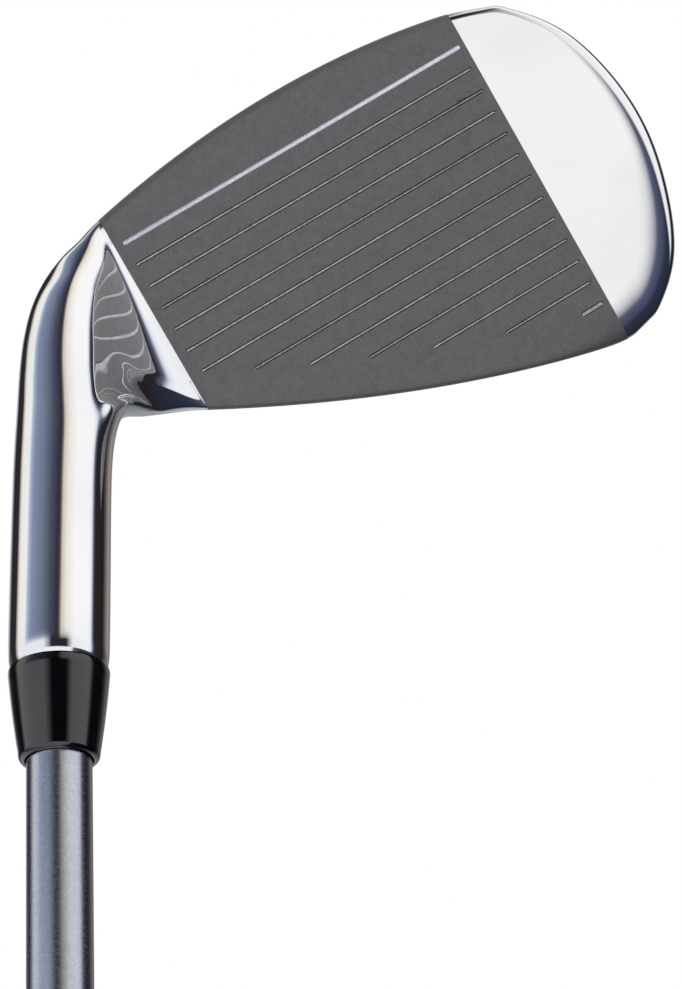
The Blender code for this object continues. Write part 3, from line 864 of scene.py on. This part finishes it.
def turning_group():
    """Lines left by turning or polishing round the shaft's axis: streaks that change along Z only."""
    group, takes, gives = new_group("turning_lines", {"Pitch": 0.0004, "Breakup": 0.5}, ("Height", "Mask"))
    parts = put(group, "SeparateXYZ")
    feed(group, parts.inputs[0], position(group))
    pitch = maths(group, "DIVIDE", 1.0, takes.outputs["Pitch"])
    turn = maths(group, "ARCTAN2", parts.outputs["Y"], parts.outputs["X"])
    line = put(group, "CombineXYZ")
    breakup = maths(group, "MULTIPLY", takes.outputs["Breakup"], 2.0)
    feed_all(group, line, X=maths(group, "MULTIPLY", parts.outputs["Z"], pitch),
             Y=maths(group, "MULTIPLY", turn, breakup))
    streak = noise(group, line.outputs[0], 1.0, 3.0, 0.6)
    feed_all(group, gives, Height=streak, Mask=remap(group, streak, 0.35, 0.65))
    return group


def handling_group():
    """Where hands and cloths have been: soft smudges and sparse hairline scratches."""
    group, takes, gives = new_group("handling_marks", {"Smudge Size": 0.02, "Scratches": 0.5},
                                    ("Smudges", "Scratches"))
    where = position(group)
    size = maths(group, "DIVIDE", 1.0, takes.outputs["Smudge Size"])
    feed(group, gives.inputs["Smudges"], remap(group, noise(group, where, size, 4.0), 0.42, 0.68))
    lines = None
    for scale, lean in (((9000.0, 420.0, 300.0), 0.6), ((380.0, 8000.0, 350.0), -0.9)):
        mapping = put(group, "Mapping")
        feed_all(group, mapping, Rotation=(lean, lean * 0.7, lean * 1.3), Scale=scale, Vector=position(group))
        hair = remap(group, noise(group, mapping.outputs["Vector"], 1.0, 2.0), 0.70, 0.74)
        lines = hair if lines is None else maths(group, "MAXIMUM", lines, hair)
    feed(group, gives.inputs["Scratches"], maths(group, "MULTIPLY", lines, takes.outputs["Scratches"]))
    return group


GRAIN, TURNING, HANDLING = grain_group(), turning_group(), handling_group()


def finish_start(name, metallic, roughness, colour):
    """A new material with its Principled shader set to plain values; returns it and its tree."""
    made = bpy.data.materials.new(name)
    made.use_nodes = True
    made.diffuse_color = colour
    shader = made.node_tree.nodes["Principled BSDF"]
    feed_all(made.node_tree, shader, Metallic=metallic, Roughness=roughness, Base_Color=colour)
    return made, made.node_tree


def use(tree, group, **values):
    """Place a shader group in a material with its own values."""
    node = put(tree, "Group", node_tree=group)
    feed_all(tree, node, **values)
    return node


def smudges(tree, size):
    """Only the smudges of the handling marks."""
    return use(tree, HANDLING, Smudge_Size=size).outputs["Smudges"]


def dress(made, colour, rough, height, depth, strength=1.0):
    """Feed a material its colour, its roughness and a height for the bump; depth is in metres."""
    tree = made.node_tree
    node = put(tree, "Bump")
    feed_all(tree, node, Strength=strength, Distance=depth, Height=height)
    feed_all(tree, tree.nodes["Principled BSDF"], Base_Color=colour, Roughness=rough,
             Normal=node.outputs["Normal"])
    return made


# ---- finishes ----
def mirror_chrome():
    """Polished chrome: nearly a mirror, with polishing lines round the hosel and light handling marks."""
    made, tree = finish_start("polished_chrome", 1.0, 0.02, rgb(249, 249, 250))
    marks = use(tree, HANDLING, Smudge_Size=0.015, Scratches=0.7)
    lines = use(tree, TURNING, Pitch=0.00035, Breakup=0.8)
    height = put(tree, "SeparateXYZ")
    feed(tree, height.inputs[0], position(tree))
    on_hosel = remap(tree, height.outputs["Z"], axis_z(14.0) * MM, axis_z(26.0) * MM)
    smear = maths(tree, "MULTIPLY", marks.outputs["Smudges"], 0.03)
    hair = maths(tree, "MULTIPLY", marks.outputs["Scratches"], 0.05)
    brushed = maths(tree, "MULTIPLY", maths(tree, "MULTIPLY", lines.outputs["Mask"], on_hosel), 0.02)
    rough = maths(tree, "ADD", maths(tree, "ADD", smear, hair), maths(tree, "ADD", brushed, 0.015))
    colour = blend_colours(tree, marks.outputs["Smudges"], rgb(250, 250, 251), rgb(244, 245, 248))
    return dress(made, colour, rough, maths(tree, "MULTIPLY", lines.outputs["Height"], on_hosel), 0.000003)


def blasted_steel():
    """Fine-blasted dark nickel: even grey with a tight grain."""
    made, tree = finish_start("blasted_face", 0.75, 0.5, rgb(108, 106, 108))
    grain = use(tree, GRAIN, Size=0.00028, Softness=0.6)
    marks = smudges(tree, 0.03)
    colour = blend_colours(tree, grain.outputs["Mask"], rgb(124, 122, 124), rgb(137, 135, 137))
    dull = maths(tree, "MULTIPLY", marks, 0.15)
    colour = blend_colours(tree, dull, colour, rgb(127, 126, 128))
    rough = remap(tree, grain.outputs["Mask"], 0.0, 1.0, 0.53, 0.47)
    return dress(made, colour, rough, grain.outputs["Height"], 0.00001, 0.6)


# what is in the grooves: name, metallic, plain roughness and colour, size and softness of the grain, its
# two colours, its two roughnesses, depth and strength of the bump
BARE_GROOVE = ("groove_steel", 1.0, 0.3, (190, 190, 192), 0.0002, 0.5,
               (165, 165, 168), (215, 215, 216), 0.4, 0.28, 0.00001, 0.6)
# a darkened copy of the groove steel for the grooves' lower walls: painted shade
PAINTED_SHADE_GROOVE = ("groove_painted_shade", 0.6, 0.5, (58, 57, 60), 0.0002, 0.5,
               (50, 49, 52), (68, 67, 70), 0.6, 0.45, 0.00001, 0.6)
WHITE_PAINT = ("groove_paint", 0.85, 0.3, (240, 246, 255), 0.0005, 0.8,
               (232, 241, 255), (243, 248, 255), 0.36, 0.26, 0.00002, 0.5)


def in_grooves(name, metallic, plain_rough, plain, size, soft, dark, light, high, low, depth, strength):
    """A finish whose colour and roughness follow its grain."""
    made, tree = finish_start(name, metallic, plain_rough, rgb(*plain))
    grain = use(tree, GRAIN, Size=size, Softness=soft)
    colour = blend_colours(tree, grain.outputs["Mask"], rgb(*dark), rgb(*light))
    rough = remap(tree, grain.outputs["Mask"], 0.0, 1.0, high, low)
    return dress(made, colour, rough, grain.outputs["Height"], depth, strength)


def satin_chrome():
    """Satin plating in the cavity."""
    made, tree = finish_start("satin_chrome", 1.0, 0.35, rgb(200, 201, 204))
    grain = use(tree, GRAIN, Size=0.0004, Softness=0.7)
    marks = smudges(tree, 0.012)
    colour = blend_colours(tree, grain.outputs["Mask"], rgb(186, 187, 191), rgb(212, 213, 216))
    rough = remap(tree, marks, 0.0, 1.0, 0.32, 0.45)
    return dress(made, colour, rough, grain.outputs["Height"], 0.00001, 0.6)


def ferrule_gloss():
    """Polished black plastic with the last turning lines still in it."""
    made, tree = finish_start("ferrule_gloss", 0.0, 0.16, rgb(14, 14, 17))
    lines = use(tree, TURNING, Pitch=0.0006, Breakup=1.2)
    marks = smudges(tree, 0.006)
    feed_all(tree, tree.nodes["Principled BSDF"], Coat_Weight=1.0, Coat_Roughness=0.04)
    colour = blend_colours(tree, marks, rgb(3, 3, 4), rgb(9, 9, 11))
    rough = remap(tree, lines.outputs["Mask"], 0.0, 1.0, 0.06, 0.14)
    return dress(made, colour, rough, lines.outputs["Height"], 0.000005, 0.8)


def shaft_finish():
    """Satin blue-grey plating with a fine drawn texture along the tube."""
    made, tree = finish_start("satin_shaft", 1.0, 0.34, rgb(176, 180, 192))
    lines = use(tree, TURNING, Pitch=0.0005, Breakup=3.0)
    grain = use(tree, GRAIN, Size=0.00025, Softness=0.7)
    marks = smudges(tree, 0.03)
    colour = blend_colours(tree, grain.outputs["Mask"], rgb(188, 192, 206), rgb(206, 209, 221))
    rough = maths(tree, "ADD", remap(tree, lines.outputs["Mask"], 0.0, 1.0, 0.22, 0.28),
                  maths(tree, "MULTIPLY", marks, 0.05))
    return dress(made, colour, rough, grain.outputs["Height"], 0.000004, 0.4)


def rubber(name, dark, light, grain_size):
    """Moulded rubber with its grain, a little dusty where it has been handled."""
    made, tree = finish_start(name, 0.0, 0.7, dark)
    grain = use(tree, GRAIN, Size=grain_size, Softness=0.6)
    marks = smudges(tree, 0.02)
    colour = blend_colours(tree, grain.outputs["Mask"], dark, light)
    dusty = maths(tree, "MULTIPLY", marks, 0.25)
    colour = blend_colours(tree, dusty, colour, rgb(74, 73, 72))
    rough = remap(tree, marks, 0.0, 1.0, 0.78, 0.6)
    return dress(made, colour, rough, grain.outputs["Height"], 0.00006, 0.8)


def brushed_plate():
    """Brushed aluminium with lines along the blade."""
    made, tree = finish_start("brushed_plate", 1.0, 0.3, rgb(170, 172, 178))
    mapping = put(tree, "Mapping")
    feed_all(tree, mapping, Rotation=(0.0, math.pi / 2.0 - LIE, 0.0), Scale=(60.0, 3500.0, 3500.0),
             Vector=position(tree))
    lines = noise(tree, mapping.outputs["Vector"], 1.0, 4.0, 0.65)
    marks = smudges(tree, 0.01)
    colour = blend_colours(tree, lines, rgb(150, 152, 160), rgb(196, 198, 203))
    rough = maths(tree, "ADD", remap(tree, lines, 0.3, 0.7, 0.24, 0.4),
                  maths(tree, "MULTIPLY", marks, 0.06))
    return dress(made, colour, rough, lines, 0.000003, 0.4)


# inner pieces: node, finish, metallic, roughness, the grain's two colours, its size and depth
INNER_PIECES = [("tip_weight", "plug_brass", 1.0, 0.3, (190, 158, 92), (214, 184, 118), 0.0004, 0.00001),
                ("hosel_epoxy", "epoxy", 0.0, 0.35, (196, 182, 140), (214, 202, 164), 0.0008, 0.00003),
                ("grip_tape", "paper_tape", 0.0, 0.8, (206, 194, 158), (224, 214, 184), 0.0006, 0.00004),
                ("badge_tape", "foam_tape", 0.0, 0.85, (52, 52, 55), (72, 72, 76), 0.0005, 0.00006)]


def grained(name, metallic, rough, dark, light, size, depth):
    """A plain material of an inner piece, with its own grain."""
    made, tree = finish_start(name, metallic, rough, rgb(*dark))
    grain = use(tree, GRAIN, Size=size, Softness=0.7)
    marks = smudges(tree, size * 20.0)
    colour = blend_colours(tree, grain.outputs["Mask"], rgb(*dark), rgb(*light))
    rough = remap(tree, marks, 0.0, 1.0, rough, min(rough + 0.12, 1.0))
    return dress(made, colour, rough, grain.outputs["Height"], depth, 0.7)


def refinish(node, finish):
    """Give a carried-over node its better material."""
    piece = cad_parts[node]
    piece.data.materials.clear()
    piece.data.materials.append(finish)


# ---- studio ----
# what a polished surface sees: azimuth in degrees (0 is straight in front of the face, + to the
# toe side) and the colour there, above the eye
AROUND = [(-180, (150, 154, 162)), (-158, (222, 226, 230)), (-144, (150, 156, 168)), (-134, (40, 40, 48)),
          (-107, (48, 40, 40)), (-101, (190, 176, 160)), (-95, (238, 236, 232)), (-75, (240, 242, 243)),
          (-69, (176, 186, 210)), (-59, (132, 143, 170)), (-35, (112, 121, 142)), (-13, (74, 78, 94)),
          (4, (46, 47, 57)), (9, (92, 78, 72)), (14, (212, 200, 184)), (25, (240, 236, 228)),
          (45, (254, 252, 250)), (79, (252, 252, 252)), (85, (226, 231, 238)), (90, (96, 100, 124)),
          (95, (40, 38, 40)), (124, (34, 32, 32)), (134, (98, 90, 82)), (150, (150, 144, 139)),
          (166, (122, 118, 118)), (180, (150, 154, 162))]
# level with the eye: white on both sides of a dark gap in front
LEVEL = [(-180, (150, 154, 162)), (-120, (40, 40, 48)), (-104, (48, 40, 40)), (-92, (236, 238, 240)),
         (-26, (236, 238, 242)), (-8, (40, 42, 52)), (26, (38, 38, 44)), (40, (240, 240, 242)),
         (76, (250, 250, 250)), (84, (226, 231, 238)), (90, (92, 98, 124)), (96, (40, 38, 44)),
         (124, (34, 32, 32)), (150, (120, 120, 124)), (180, (150, 154, 162))]
# below the eye: white in front and on the heel side, a dark blue gap towards the toe
BELOW = [(-180, (200, 200, 203)), (-120, (212, 213, 216)), (-100, (120, 126, 140)), (-70, (236, 238, 242)),
         (-10, (247, 246, 245)), (37, (247, 246, 245)), (44, (84, 90, 114)), (60, (46, 51, 70)),
         (110, (36, 39, 52)), (128, (30, 32, 40)), (140, (120, 120, 124)), (180, (200, 200, 203))]


def ring_ramp(tree, azimuth, stops):
    """Colour by azimuth, from a list of places."""
    node = put(tree, "ValToRGB")
    ramp = node.color_ramp
    ramp.elements[0].position, ramp.elements[1].position = 0.0, 1.0
    ramp.elements[0].color, ramp.elements[1].color = rgb(*stops[0][1]), rgb(*stops[-1][1])
    for degrees, colour in stops[1:-1]:
        ramp.elements.new((degrees + 180.0) / 360.0).color = rgb(*colour)
    feed(tree, node.inputs["Fac"], azimuth)
    return node.outputs["Color"]


def studio_light():
    """A white studio with soft boxes, grey flats and dark gaps, plain white behind the club."""
    world = bpy.data.worlds.new("studio")
    world.use_nodes = True
    tree = world.node_tree
    parts = put(tree, "SeparateXYZ")
    feed(tree, parts.inputs[0], put(tree, "TexCoord").outputs["Generated"])
    back = maths(tree, "MULTIPLY", parts.outputs["Y"], -1.0)
    azimuth = maths(tree, "ARCTAN2", parts.outputs["X"], back)
    azimuth = maths(tree, "ADD", maths(tree, "DIVIDE", azimuth, 2.0 * math.pi), 0.5)
    height = maths(tree, "ARCSINE", parts.outputs["Z"])
    high = remap(tree, height, math.radians(77.0), math.radians(85.0))
    level = remap(tree, height, math.radians(23.0), math.radians(14.0))
    low = remap(tree, height, math.radians(-8.0), math.radians(-13.0))
    colour = blend_colours(tree, level, ring_ramp(tree, azimuth, AROUND), ring_ramp(tree, azimuth, LEVEL))
    colour = blend_colours(tree, low, colour, ring_ramp(tree, azimuth, BELOW))
    colour = blend_colours(tree, high, colour, rgb(246, 247, 250))
    seen = put(tree, "LightPath").outputs["Is Camera Ray"]
    colour = blend_colours(tree, seen, colour, (1.0, 1.0, 1.0, 1.0))
    feed(tree, tree.nodes["Background"].inputs["Color"], colour)
    bpy.context.scene.world = world


def add_area(name, place_at, aim, size, power):
    """A soft area light."""
    lamp = bpy.data.lights.new(name, "AREA")
    lamp.shape = "RECTANGLE"
    lamp.size, lamp.size_y = size
    lamp.energy = power
    made = add_object(name, lamp)
    made.location = place_at
    made.rotation_euler = (Vector(aim) - Vector(place_at)).to_track_quat("-Z", "Y").to_euler()
    made.visible_glossy = False


def lay_floor():
    """Plain pale floor under the butt, left out of reflections."""
    bm = bmesh.new()
    bmesh.ops.create_grid(bm, x_segments=1, y_segments=1, size=40.0)
    mesh = bpy.data.meshes.new("floor")
    bm.to_mesh(mesh)
    bm.free()
    made, tree = finish_start("floor_paint", 0.0, 0.9, rgb(236, 236, 236))
    soft = noise(tree, position(tree), 3.0, 2.0)
    colour = blend_colours(tree, soft, rgb(242, 242, 243), rgb(248, 248, 248))
    feed_all(tree, tree.nodes["Principled BSDF"], Base_Color=colour)
    mesh.materials.append(made)
    floor = add_object("floor", mesh)
    floor.visible_glossy = False


def place_camera():
    """Close to the head, a little below it, looking up at the face."""
    lens = bpy.data.cameras.new("camera")
    lens.sensor_width = 36.0
    lens.lens = 144.87
    lens.clip_start = 0.01
    camera = add_object("camera", lens)
    camera.location = (0.076916, -0.492406, 0.648166)
    camera.rotation_euler = [math.radians(a) for a in (116.31796, 1.99592, 5.33179)]
    bpy.context.scene.camera = camera


# ---- the whole club ----
def build():
    """Make every fine piece, give every node its finish, and set the studio round them."""
    place_camera()
    studio_light()
    lay_floor()
    add_area("overhead_soft", (0.3, -0.9, 2.4), (0.0, 0.0, 0.8), (1.4, 1.0), 18.0)

    make_head([mirror_chrome(), blasted_steel(), in_grooves(*BARE_GROOVE),
               in_grooves(*WHITE_PAINT), satin_chrome(), in_grooves(*PAINTED_SHADE_GROOVE)])
    make_ferrule(ferrule_gloss())
    make_shaft(shaft_finish())
    make_grip(rubber("grip_rubber", rgb(30, 30, 32), rgb(44, 44, 46), 0.0004))
    make_cap(rubber("cap_rubber", rgb(34, 34, 36), rgb(50, 50, 52), 0.0003))
    make_badge(brushed_plate())
    make_damper(rubber("damper_rubber", rgb(38, 42, 52), rgb(54, 60, 72), 0.0003))

    for node, name, *values in INNER_PIECES:
        refinish(node, grained(name, *values))


build()
bpy.context.scene.view_settings.view_transform = "Standard"
